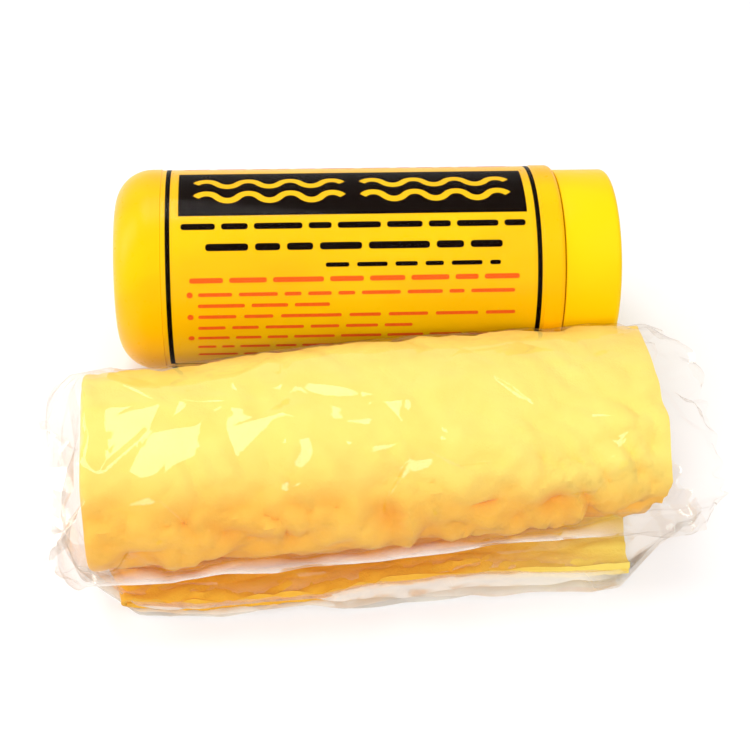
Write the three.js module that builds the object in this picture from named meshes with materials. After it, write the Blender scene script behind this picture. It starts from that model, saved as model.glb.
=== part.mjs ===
// A synthetic chamois cloth with its case. The case is a moulded tube bottle
// lying on its side with a screw cap. In front of it lies the cloth, folded
// double, rolled up and packed in a clear film bag.
// Millimetres, +Z up. The case's axis runs along X with the cap at +X, and the
// origin lies on the surface under the middle of the whole set.

import * as THREE from 'three';

// Case body, a blow-moulded bottle. Lengths along the case start at its foot.
const caseRadius = 35;
const caseWall = 1.2;
const bodyLength = 153;
const heelRadius = 13;
const shoulderRadius = 2;
const footRingWidth = 5;
const footDishDepth = 2.5;
const footDishSlope = 4;
const roundSides = 48;
const arcSteps = 6;

// Cap, screwed over the neck, with a foam sealing disc under its top
const capLength = 19.3;
const capInset = 1.7;
const capWall = 1.4;
const capTop = 1.6;
const capEdgeRadius = 1.6;
const capRecessDepth = 0.6;
const capRimWidth = 5;
const capSkirtGap = 0.4;
const threadSpace = 1.5;
const linerThickness = 1.2;
const linerClearance = 0.4;
const linerSeatGap = 0.1;

// Label, a clear printed film sleeve in a shallow panel of the case body
const labelThickness = 0.12;
const labelClearance = 0.06;
const labelPanelDepth = 0.3;
const footBand = 3.6;
const shoulderBand = 5.2;

// Cloth, folded double across its length and rolled up along its width
const clothLength = 430;
const clothWidth = 320;
const clothThickness = 2;
const foldGap = 0.4;
const gatherShare = 0.84;
const firstTurnWidth = 80;
const firstTurnHeight = 51.5;
const coreShare = 0.3;
const looseTurnShare = 0.25;
const tailReachLeft = 32;
const tailReachRight = 41;
const tailInset = 9;
const crumpleHeight = 0.45;
const crumpleLength = 27;
const crumpleSkewShare = 0.4;
const clothStations = 82;
const foldSteps = 4;

// Bag, a clear film tube that is sealed at the left and open at the right. It lies
// close round the roll, is pleated in front between the roll and the flat tail, and
// opens out towards its mouth.
const filmThickness = 0.3;
const filmGap = 0.9;
const finReachLeft = 37;
const finReachRight = 49;
const pleatTurnShare = 0.79;
const pleatReach = 3.6;
const pleatHeightShare = 0.75;
const recessDepth = 2.9;
const recessHeightShare = 0.3;
const mouthReach = 12;
const mouthFlare = 12;
const flareSteps = 4;
const sealReach = 9;
const sealBand = 2.5;
const sealWidthShare = 0.86;
const sealHeightShare = 0.06;
const sealLevelShare = 0.37;
const sealSteps = 6;
const filmArcSteps = 40;
const filmSpans = 5;

// How the two lie together
const setGap = 0.4;
const bundleYawTurnShare = 0.016;
const bundleMiddle = 83.5;

// Sizes that follow from the ones above
const flatShare = Math.cos(Math.PI / roundSides);
const caseAxisHeight = caseRadius * flatShare;
const footRadius = caseRadius - heelRadius;
const labelStart = heelRadius + footBand;
const labelEnd = bodyLength - shoulderRadius - shoulderBand;
const panelRadius = caseRadius - labelPanelDepth;
const capRadius = caseRadius - capInset;
const capBore = capRadius - capWall;
const neckRadius = capBore - threadSpace;
const neckBore = neckRadius - caseWall;
const linerStart = bodyLength + capSkirtGap + capLength - capTop - linerSeatGap - linerThickness;
const neckEnd = linerStart - linerSeatGap;
const caseLength = bodyLength + capSkirtGap + capLength;
const halfDoubled = clothThickness + foldGap / 2;
const rollLength = (clothLength / 2) * gatherShare;
const turnHalfWidth = firstTurnWidth / 2 - halfDoubled;
const turnHalfHeight = firstTurnHeight / 2 - halfDoubled;
const rollCentre = filmThickness + filmGap + firstTurnHeight / 2;
const tightening = (1 - coreShare) * turnHalfHeight;
const stepTurns = 0.004;
const filmHalfWidth = firstTurnWidth / 2 + filmGap + filmThickness;
const filmOffset = halfDoubled + filmGap + filmThickness;
const filmHeight = firstTurnHeight + 2 * (filmGap + filmThickness);
const sealLevel = sealLevelShare * filmHeight;
const bundleYaw = 2 * Math.PI * bundleYawTurnShare;

// Points of a quarter or smaller arc, as radius and length along the axis
function arc(radiusAt, lengthAt, radius, fromTurn, toTurn) {
  const points = [];
  for (let step = 0; step <= arcSteps; step += 1) {
    const angle = 2 * Math.PI * (fromTurn + ((toTurn - fromTurn) * step) / arcSteps);
    points.push([radiusAt + radius * Math.cos(angle), lengthAt + radius * Math.sin(angle)]);
  }
  return points;
}

// A profile turned about the X axis, with one of its flats facing straight down
function turned(profile) {
  const points = profile.map(([radius, length]) => new THREE.Vector2(radius, length));
  const geometry = new THREE.LatheGeometry(points, roundSides, Math.PI / roundSides);
  geometry.rotateZ(-Math.PI / 2);
  return geometry;
}

// Dished foot with a standing ring, rounded heel, label panel, shoulder and neck
function caseBody() {
  const dishRadius = footRadius - footRingWidth;
  const outside = [
    [0, footDishDepth],
    [dishRadius - footDishSlope, footDishDepth],
    [dishRadius, 0],
    ...arc(footRadius, heelRadius, heelRadius, -0.25, 0),
    [caseRadius, labelStart],
    [panelRadius, labelStart],
    [panelRadius, labelEnd],
    [caseRadius, labelEnd],
    ...arc(caseRadius - shoulderRadius, bodyLength - shoulderRadius, shoulderRadius, 0, 0.25),
    [neckRadius, bodyLength],
    [neckRadius, neckEnd],
  ];
  const inside = [
    [neckBore, neckEnd],
    [neckBore, bodyLength - caseWall],
    [caseRadius - caseWall - shoulderRadius, bodyLength - caseWall],
    [caseRadius - caseWall, bodyLength - caseWall - shoulderRadius],
    ...arc(footRadius, heelRadius, heelRadius - caseWall, 0, -0.25),
    [dishRadius, caseWall],
    [dishRadius - footDishSlope, footDishDepth + caseWall],
    [0, footDishDepth + caseWall],
  ];
  return turned([...outside, ...inside]);
}

// Plain cup over the neck, with a shallow round recess in its top
function cap() {
  const topInside = capLength - capTop;
  const rimRadius = capRadius - capRimWidth;
  return turned([
    [0, topInside],
    [capBore, topInside],
    [capBore, 0],
    [capRadius, 0],
    ...arc(capRadius - capEdgeRadius, capLength - capEdgeRadius, capEdgeRadius, 0, 0.25),
    [rimRadius, capLength],
    [rimRadius - capRecessDepth, capLength - capRecessDepth],
    [0, capLength - capRecessDepth],
  ]);
}

function capLiner() {
  const radius = capBore - linerClearance;
  return turned([[0, 0], [radius, 0], [radius, linerThickness], [0, linerThickness]]);
}

function labelFilm() {
  const inner = panelRadius + labelClearance;
  const outer = inner + labelThickness;
  const start = labelStart + labelClearance;
  const end = labelEnd - labelClearance;
  return turned([[inner, start], [outer, start], [outer, end], [inner, end], [inner, start]]);
}

// The rings of points joined into one closed surface, its two ends filled in.
// Each four-sided patch is split along its shorter diagonal.
function loft(rings, startOutline, endOutline) {
  const count = rings[0].length;
  const points = rings.flat();
  const positions = points.flatMap((point) => [point.x, point.y, point.z]);
  const index = [];
  for (let ring = 0; ring + 1 < rings.length; ring += 1) {
    for (let at = 0; at < count; at += 1) {
      const here = ring * count + at;
      const beside = ring * count + ((at + 1) % count);
      const ahead = here + count;
      const opposite = beside + count;
      if (points[here].distanceTo(points[opposite]) < points[beside].distanceTo(points[ahead])) {
        index.push(here, beside, opposite, here, opposite, ahead);
      } else {
        index.push(here, beside, ahead, beside, opposite, ahead);
      }
    }
  }
  const last = (rings.length - 1) * count;
  for (const [a, b, c] of THREE.ShapeUtils.triangulateShape(startOutline, [])) {
    index.push(c, b, a);
  }
  for (const [a, b, c] of THREE.ShapeUtils.triangulateShape(endOutline, [])) {
    index.push(last + a, last + b, last + c);
  }
  const geometry = new THREE.BufferGeometry();
  geometry.setAttribute('position', new THREE.Float32BufferAttribute(positions, 3));
  geometry.setIndex(index);
  geometry.computeVertexNormals();
  return geometry;
}

function tailReach(acrossShare) {
  return THREE.MathUtils.lerp(tailReachLeft, tailReachRight, acrossShare);
}

// The middle of the doubled cloth in the roll's cross-section: x runs back, y up.
// Below zero turns it lies flat in front, from there on it winds inwards, less so
// the slacker it is.
function windingPoint(turns, turnCount, acrossShare, slack = 0) {
  if (turns < 0) {
    return new THREE.Vector2(turns * tailReach(acrossShare), rollCentre - turnHalfHeight);
  }
  const wound = Math.max(0, turns - looseTurnShare) / (turnCount - looseTurnShare);
  const angle = 2 * Math.PI * turns - Math.PI / 2;
  const inward = tightening * wound * (1 - slack);
  const across = (turnHalfWidth - inward) * Math.cos(angle);
  return new THREE.Vector2(across, rollCentre + (turnHalfHeight - inward) * Math.sin(angle));
}

// The outward direction at a place of the winding
function windingNormal(turns, turnCount, acrossShare, slack = 0) {
  const ahead = windingPoint(turns + stepTurns, turnCount, acrossShare, slack);
  const back = windingPoint(turns - stepTurns, turnCount, acrossShare, slack);
  return ahead.sub(back).rotateAround(new THREE.Vector2(), -Math.PI / 2).normalize();
}

// Where along the winding each length of cloth lies, for a given number of turns
function windingLengths(turnCount) {
  const samples = 600;
  const middleShare = 0.5;
  const table = [];
  let previous = windingPoint(-1, turnCount, middleShare);
  let length = 0;
  for (let step = 0; step <= samples; step += 1) {
    const turns = -1 + ((turnCount + 1) * step) / samples;
    const point = windingPoint(turns, turnCount, middleShare);
    length += point.distanceTo(previous);
    previous = point;
    table.push({ turns, length });
  }
  return table;
}

// The number of turns that takes up the whole width of the cloth
function fittedTurns() {
  const halvings = 40;
  const mostTurns = 12;
  let low = looseTurnShare;
  let high = mostTurns;
  for (let pass = 0; pass < halvings; pass += 1) {
    const turnCount = (low + high) / 2;
    const table = windingLengths(turnCount);
    if (table[table.length - 1].length < clothWidth) {
      low = turnCount;
    } else {
      high = turnCount;
    }
  }
  return (low + high) / 2;
}

// Turns at evenly spaced lengths of cloth
function evenTurns(turnCount) {
  const table = windingLengths(turnCount);
  const total = table[table.length - 1].length;
  const turns = [];
  let row = 0;
  for (let station = 0; station < clothStations; station += 1) {
    const length = (total * station) / (clothStations - 1);
    while (row < table.length - 2 && table[row + 1].length < length) {
      row += 1;
    }
    const from = table[row];
    const to = table[row + 1];
    turns.push(THREE.MathUtils.mapLinear(length, from.length, to.length, from.turns, to.turns));
  }
  return turns;
}

// Outline of the doubled sheet, folded at the left and open at the right:
// x is the share of the roll's length, fold the extra length and y the height
function doubledOutline() {
  const halfGap = foldGap / 2;
  const shares = [1, 0.5];
  const outline = shares.map((share) => ({ share, fold: 0, height: halfDoubled }));
  for (let step = 0; step <= foldSteps; step += 1) {
    const angle = Math.PI * (0.5 + step / foldSteps);
    const fold = halfDoubled * (1 + Math.cos(angle));
    outline.push({ share: 0, fold, height: halfDoubled * Math.sin(angle) });
  }
  shares.toReversed().forEach((share) => outline.push({ share, fold: 0, height: -halfDoubled }));
  shares.forEach((share) => outline.push({ share, fold: 0, height: -halfGap }));
  outline.push({ share: 0, fold: clothThickness, height: -halfGap });
  outline.push({ share: 0, fold: clothThickness, height: halfGap });
  shares.toReversed().forEach((share) => outline.push({ share, fold: 0, height: halfGap }));
  return outline;
}

// One ring of the cloth, across the roll's whole length at one place of the winding
function clothRing(turns, turnCount, outline) {
  const flatTail = THREE.MathUtils.smoothstep(-turns, 0, 1);
  const inset = tailInset * flatTail;
  const ruffle = crumpleHeight * THREE.MathUtils.smoothstep(turns, 0, looseTurnShare);
  return outline.map(({ share, fold, height }) => {
    const here = windingPoint(turns, turnCount, share);
    const normal = windingNormal(turns, turnCount, share);
    const along = (2 * Math.PI * turns * turnHalfWidth) / crumpleLength;
    const wave = ruffle * Math.sin(along + 2 * Math.PI * crumpleSkewShare * share);
    here.addScaledVector(normal, height + wave);
    const length = inset + fold + share * (rollLength - 2 * inset);
    return new THREE.Vector3(length - rollLength / 2, here.x, here.y);
  });
}

function cloth() {
  const turnCount = fittedTurns();
  const outline = doubledOutline();
  const rings = evenTurns(turnCount).map((turns) => clothRing(turns, turnCount, outline));
  const end = outline.map(({ share, fold, height }) => (
    new THREE.Vector2(fold + share * rollLength, height)));
  return loft(rings, end, end);
}

// How far the film is let out at a length along the roll
function slackAt(along) {
  return THREE.MathUtils.smoothstep(along, rollLength / 2 - mouthFlare, rollLength / 2);
}

// Outer outline of the film across the roll, from under it up the back, over the top
// and down to a pleat in front, then in, out over the flat tail and down to its
// front edge. Where it is slack or drawn in to the seal, its front hangs straight.
function filmSection(turnCount, along, drawnIn) {
  const slack = slackAt(along);
  const acrossShare = THREE.MathUtils.clamp(along / rollLength + 0.5, 0, 1);
  const outline = [];
  for (let step = 0; step <= filmArcSteps; step += 1) {
    const turns = (pleatTurnShare * step) / filmArcSteps;
    const normal = windingNormal(turns, turnCount, acrossShare, slack);
    outline.push(windingPoint(turns, turnCount, acrossShare, slack).addScaledVector(normal, filmOffset));
  }
  const leave = outline[filmArcSteps];
  const overTail = rollCentre - turnHalfHeight + filmOffset;
  const overEdge = tailReach(acrossShare) + filmGap + filmThickness;
  const tailSpan = rollLength / 2 + mouthReach;
  const finShare = THREE.MathUtils.clamp((along + rollLength / 2) / (tailSpan + rollLength / 2), 0, 1);
  const fin = THREE.MathUtils.lerp(finReachLeft, finReachRight, finShare);
  const tip = new THREE.Vector2(-Math.max(fin, overEdge + filmGap), 0);
  const pleatHeight = THREE.MathUtils.lerp(overTail, leave.y, pleatHeightShare);
  const recessHeight = THREE.MathUtils.lerp(overTail, leave.y, recessHeightShare);
  const corners = [
    new THREE.Vector2(leave.x - pleatReach, pleatHeight),
    new THREE.Vector2(leave.x + recessDepth, recessHeight),
    new THREE.Vector2(-overEdge, overTail),
  ];
  corners.forEach((corner, at) => {
    const straight = leave.clone().lerp(tip, (at + 1) / (corners.length + 1));
    outline.push(corner.lerp(straight, Math.max(slack, drawnIn)));
  });
  outline.push(tip);
  return outline;
}

function leftOf(from, to) {
  return to.clone().sub(from).rotateAround(new THREE.Vector2(), Math.PI / 2).normalize();
}

// The outline moved inwards, each corner along its mitre
function insetOutline(outline, inset) {
  const count = outline.length;
  return outline.map((point, at) => {
    const before = leftOf(outline[(at + count - 1) % count], point);
    const after = leftOf(point, outline[(at + 1) % count]);
    const reach = inset / (1 + before.dot(after));
    return before.add(after).multiplyScalar(reach).add(point);
  });
}

// One ring of a face of the film, flattened towards the seal's level as it is drawn
// in. The inner face is flattened more, which keeps the film's thickness.
function filmRing(turnCount, along, inset, drawnIn) {
  const widthShare = THREE.MathUtils.lerp(1, sealWidthShare, drawnIn);
  const heightShare = THREE.MathUtils.lerp(1, sealHeightShare, drawnIn);
  const width = widthShare - (inset * (1 - widthShare)) / finReachLeft;
  const height = heightShare - (inset * (1 - heightShare)) / sealLevel;
  return insetOutline(filmSection(turnCount, along, drawnIn), inset).map((point) => (
    new THREE.Vector3(along, point.x * width, sealLevel + (point.y - sealLevel) * height)));
}

// Rings of one face of the film, from the flat seal to the open mouth
function filmFace(turnCount, inset) {
  const shoulder = -rollLength / 2 - filmGap - filmThickness + inset;
  const flareStart = rollLength / 2 - mouthFlare;
  const rings = [filmRing(turnCount, shoulder - sealReach, inset, 1)];
  for (let step = 0; step < sealSteps; step += 1) {
    const angle = (Math.PI / 2) * (1 - step / sealSteps);
    const along = shoulder - (sealReach - sealBand) * Math.sin(angle);
    rings.push(filmRing(turnCount, along, inset, 1 - Math.cos(angle)));
  }
  for (let span = 0; span < filmSpans; span += 1) {
    const along = THREE.MathUtils.lerp(shoulder, flareStart, span / filmSpans);
    rings.push(filmRing(turnCount, along, inset, 0));
  }
  for (let step = 0; step <= flareSteps; step += 1) {
    rings.push(filmRing(turnCount, flareStart + (mouthFlare * step) / flareSteps, inset, 0));
  }
  rings.push(filmRing(turnCount, rollLength / 2 + mouthReach, inset, 0));
  return rings;
}

// The film runs from the seal over the outside to the mouth and back inside
function bagFilm() {
  const turnCount = fittedTurns();
  const rings = [...filmFace(turnCount, 0), ...filmFace(turnCount, filmThickness).reverse()];
  const end = filmSection(turnCount, -rollLength / 2, 1);
  return loft(rings, end, insetOutline(end, filmThickness));
}

function piece(name, geometry, colour, roughness, metalness = 0) {
  const material = new THREE.MeshStandardMaterial({ color: colour, roughness, metalness });
  const mesh = new THREE.Mesh(geometry, material);
  mesh.name = name;
  return mesh;
}

// Case: everything measured from its foot, on the case's own axis
const caseGroup = new THREE.Group();
caseGroup.position.z = caseAxisHeight;
const capMesh = piece('cap', cap(), 0xffdc0a, 0.35);
capMesh.position.x = bodyLength + capSkirtGap;
const linerMesh = piece('cap_liner', capLiner(), 0xf2f2ee, 0.8);
linerMesh.position.x = linerStart;
caseGroup.add(piece('case_body', caseBody(), 0xffd000, 0.35), capMesh, linerMesh);
caseGroup.add(piece('label_film', labelFilm(), 0xffcc00, 0.15));

// Bundle: its right end lies nearer the case, clear of the body and of the cap
const bundleGroup = new THREE.Group();
const besideBody = caseRadius + (bodyLength - bundleMiddle) * Math.tan(bundleYaw);
const besideCap = capRadius + (caseLength - bundleMiddle) * Math.tan(bundleYaw);
const bundleDistance = Math.max(besideBody, besideCap) + setGap + filmHalfWidth / Math.cos(bundleYaw);
bundleGroup.position.set(bundleMiddle, -bundleDistance, 0);
bundleGroup.rotation.z = bundleYaw;
bundleGroup.add(piece('cloth', cloth(), 0xf7d670, 0.9));
bundleGroup.add(piece('bag_film', bagFilm(), 0xf4f4f2, 0.1));

const chamoisSet = new THREE.Group();
chamoisSet.add(caseGroup, bundleGroup);
const bounds = new THREE.Box3().setFromObject(chamoisSet, true);
const middle = bounds.getCenter(new THREE.Vector3());
chamoisSet.position.set(-middle.x, -middle.y, -bounds.min.z);

export default chamoisSet;
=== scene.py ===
import logging
import math
import random
from dataclasses import dataclass
from enum import Enum
from typing import Callable, Iterable, Sequence

import bmesh
import bpy
import numpy as np
from mathutils import Matrix, Vector, noise


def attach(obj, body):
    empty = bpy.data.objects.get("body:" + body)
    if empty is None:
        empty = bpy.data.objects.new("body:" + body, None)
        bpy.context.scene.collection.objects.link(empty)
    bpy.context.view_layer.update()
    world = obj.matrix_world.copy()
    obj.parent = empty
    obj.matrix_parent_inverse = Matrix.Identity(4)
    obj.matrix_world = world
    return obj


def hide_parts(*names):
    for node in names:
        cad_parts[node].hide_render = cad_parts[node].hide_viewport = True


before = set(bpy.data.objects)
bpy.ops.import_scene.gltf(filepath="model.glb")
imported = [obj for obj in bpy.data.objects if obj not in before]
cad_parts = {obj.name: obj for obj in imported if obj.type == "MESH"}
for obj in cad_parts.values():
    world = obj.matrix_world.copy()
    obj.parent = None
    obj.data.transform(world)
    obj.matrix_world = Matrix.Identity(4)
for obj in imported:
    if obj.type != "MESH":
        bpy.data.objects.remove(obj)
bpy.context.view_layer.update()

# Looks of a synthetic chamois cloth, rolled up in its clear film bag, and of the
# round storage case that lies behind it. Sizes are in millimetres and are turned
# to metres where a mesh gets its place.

LOG = logging.getLogger("chamois_set")
MM = 0.001
Point = tuple[float, float]
Triple = tuple[float, float, float]
Colour = Triple
Table = tuple[Sequence[float], Sequence[float]]
Piece = bpy.types.Object
Socket = bpy.types.NodeSocket
Material = bpy.types.Material


class Slot(Enum):
    """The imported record's finishes."""

    CASE = "case_plastic"
    CAP = "cap_plastic"
    FOAM = "liner_foam"
    LABEL = "label_print"
    CHAMOIS = "chamois"
    FILM = "clear_film"


class Body(Enum):
    """The bodies that the pieces ride on."""

    CASE = "case"
    LINER = "liner"
    CAP = "cap"
    BAG = "bag"
    CLOTH = "cloth"


class Ink(Enum):
    """The two printing inks of the label, as sRGB hex colours."""

    BLACK = "0a0200"
    RED = "f2601a"


def linear(hex_colour: str) -> Colour:
    """Turns an sRGB hex colour to linear light.

    Args:
        hex_colour: six hex digits.

    Returns:
        Red, green and blue from 0 to 1.
    """
    shares = [int(hex_colour[i : i + 2], 16) / 255 for i in (0, 2, 4)]
    r, g, b = (c / 12.92 if c <= 0.04045 else ((c + 0.055) / 1.055) ** 2.4 for c in shares)
    return r, g, b


def at(place: float | np.ndarray, table: Table) -> np.ndarray:
    """Reads a table of places and values, straight between them."""
    return np.interp(place, *table)


def ripple(x: float, y: float, z: float) -> float:
    """Smooth noise, from about -1 to 1."""
    return noise.noise(Vector((x, y, z)))


class Bench:
    """The modelling moves, made with Blender's own operators."""

    @staticmethod
    def clear() -> None:
        """Deselects every object."""
        bpy.ops.object.select_all(action="DESELECT")

    @staticmethod
    def pick(piece: Piece) -> None:
        """Makes one object the only selected and the active one."""
        Bench.clear()
        piece.select_set(True)
        bpy.context.view_layer.objects.active = piece

    @staticmethod
    def piece() -> Piece:
        """The active object."""
        return bpy.context.view_layer.objects.active

    @staticmethod
    def edit() -> None:
        """Goes into edit mode."""
        bpy.ops.object.mode_set(mode="EDIT")

    @staticmethod
    def outwards(weld_mm: float = 0.0) -> None:
        """Turns all faces of the mesh in hand outwards, and first welds close vertices if asked."""
        bpy.ops.mesh.select_all(action="SELECT")
        if weld_mm:
            bpy.ops.mesh.remove_doubles(threshold=weld_mm * MM)
        bpy.ops.mesh.normals_make_consistent(inside=False)

    @staticmethod
    def done(name: str, smooth_degrees: float = 40.0) -> Piece:
        """Leaves edit mode, names the active piece and puts its place in its mesh.

        Args:
            name: the piece's name.
            smooth_degrees: edges flatter than this are shaded smooth.

        Returns:
            The finished piece.
        """
        if bpy.context.mode != "OBJECT":
            bpy.ops.object.mode_set(mode="OBJECT")
        piece = Bench.piece()
        bpy.ops.object.transform_apply(location=True, rotation=True, scale=True)
        piece.name = name
        piece.data.name = name
        bpy.ops.object.shade_smooth_by_angle(angle=math.radians(smooth_degrees))
        return piece

    @staticmethod
    def select(test: Callable[[Vector], bool], mode: str = "VERT") -> None:
        """Selects the active mesh's vertices by their place, and what lies between them.

        Args:
            test: says whether a vertex at this place is taken.
            mode: VERT, EDGE or FACE.
        """
        bpy.ops.mesh.select_mode(type="VERT")
        bpy.ops.mesh.select_all(action="DESELECT")
        piece = Bench.piece()
        mesh = bmesh.from_edit_mesh(piece.data)
        for vertex in mesh.verts:
            if test(piece.matrix_world @ vertex.co):
                vertex.select = True
        mesh.select_flush(True)
        bmesh.update_edit_mesh(piece.data)
        bpy.ops.mesh.select_mode(type=mode)

    @staticmethod
    def apply(piece: Piece, kind: str, **settings: object) -> None:
        """Adds one modifier with its settings and applies it."""
        Bench.pick(piece)
        modifier = piece.modifiers.new(kind.lower(), kind)
        for key, value in settings.items():
            setattr(modifier, key, value)
        bpy.ops.object.modifier_apply(modifier=modifier.name)

    @staticmethod
    def join(first: Piece, others: Iterable[Piece]) -> Piece:
        """Joins other pieces into the first one."""
        Bench.pick(first)
        for other in others:
            other.select_set(True)
        bpy.ops.object.join()
        return first

    @staticmethod
    def drape(points: np.ndarray, attribute: str, values: np.ndarray) -> Piece:
        """Adds a grid and moves its vertices to their places.

        Args:
            points: places in metres, in rows and columns.
            attribute: the name of a value that each vertex gets.
            values: those values.

        Returns:
            The grid.
        """
        rows, columns = points.shape[:2]
        Bench.clear()
        bpy.ops.mesh.primitive_grid_add(x_subdivisions=columns - 1, y_subdivisions=rows - 1, size=1)
        piece = Bench.piece()
        piece.data.vertices.foreach_set("co", points.astype(np.float32).ravel())
        made = piece.data.attributes.new(attribute, "FLOAT", "POINT")
        made.data.foreach_set("value", values.astype(np.float32).ravel())
        piece.data.update()
        return piece


def own(piece: Piece, material: Material, body: Body, node: str = "") -> None:
    """Dresses a piece and says what it is.

    Args:
        piece: the finished piece.
        material: its material.
        body: the body that it rides on.
        node: the node that it takes the place of, if it does.
    """
    piece.data.materials.append(material)
    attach(piece, body.value)
    if node:
        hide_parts(node)
    LOG.info("%s: %d faces", piece.name, len(piece.data.polygons))


@dataclass
class Lathe:
    """Turns closed round forms about the case's axis, ring by ring.

    Attributes:
        foot: where along X the profile's zero lies.
        back: the axis's place along Y.
        up: the axis's height.
        sides: how many sides a ring has.
    """

    foot: float
    back: float
    up: float
    sides: int = 144

    def turn(self, name: str, profile: Sequence[Point],
             rounds: Sequence[tuple[float, float, float, int]] = ()) -> Piece:
        """Adds a ring and extrudes and scales it from one profile point to the next.

        Args:
            name: the piece's name.
            profile: length along the axis and radius of each ring; the ends are poles.
            rounds: length, radius, rounding radius and segments of the rings to round.

        Returns:
            The turned piece, closed, with its faces outwards.
        """
        Bench.clear()
        length, radius = profile[0]
        bpy.ops.mesh.primitive_circle_add(
            vertices=self.sides, radius=radius * MM, fill_type="NOTHING",
            location=self._centre(length), rotation=(0, math.pi / 2, 0))
        Bench.edit()
        bpy.ops.mesh.select_all(action="SELECT")
        for next_length, next_radius in profile[1:]:
            step = ((next_length - length) * MM, 0, 0)
            bpy.ops.mesh.extrude_region_move(TRANSFORM_OT_translate={"value": step})
            if next_radius != radius:
                size = next_radius / radius
                bpy.ops.transform.resize(value=(1, size, size), center_override=self._centre(next_length))
            length, radius = next_length, next_radius
        for end in (profile[0], profile[-1]):
            Bench.select(self._ring(*end))
            bpy.ops.mesh.merge(type="CENTER")
        for ring_length, ring_radius, rounding, segments in rounds:
            Bench.select(self._ring(ring_length, ring_radius), "EDGE")
            bpy.ops.mesh.bevel(offset=rounding * MM, segments=segments, affect="EDGES", profile=0.5)
        bpy.ops.mesh.select_mode(type="VERT")
        Bench.outwards(0.002)
        return Bench.done(name, 30)

    def _centre(self, length: float) -> Triple:
        """The point on the axis at a length, in metres."""
        return (self.foot + length) * MM, self.back * MM, self.up * MM

    def _ring(self, length: float, radius: float) -> Callable[[Vector], bool]:
        """A test for the vertices of one ring."""
        centre, near = Vector(self._centre(length)), 0.01 * MM

        def on_ring(place: Vector) -> bool:
            """True on the ring, to a hundredth of a millimetre."""
            off = place - centre
            return abs(off.x) < near and abs(math.hypot(off.y, off.z) - radius * MM) < near

        return on_ring


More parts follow.
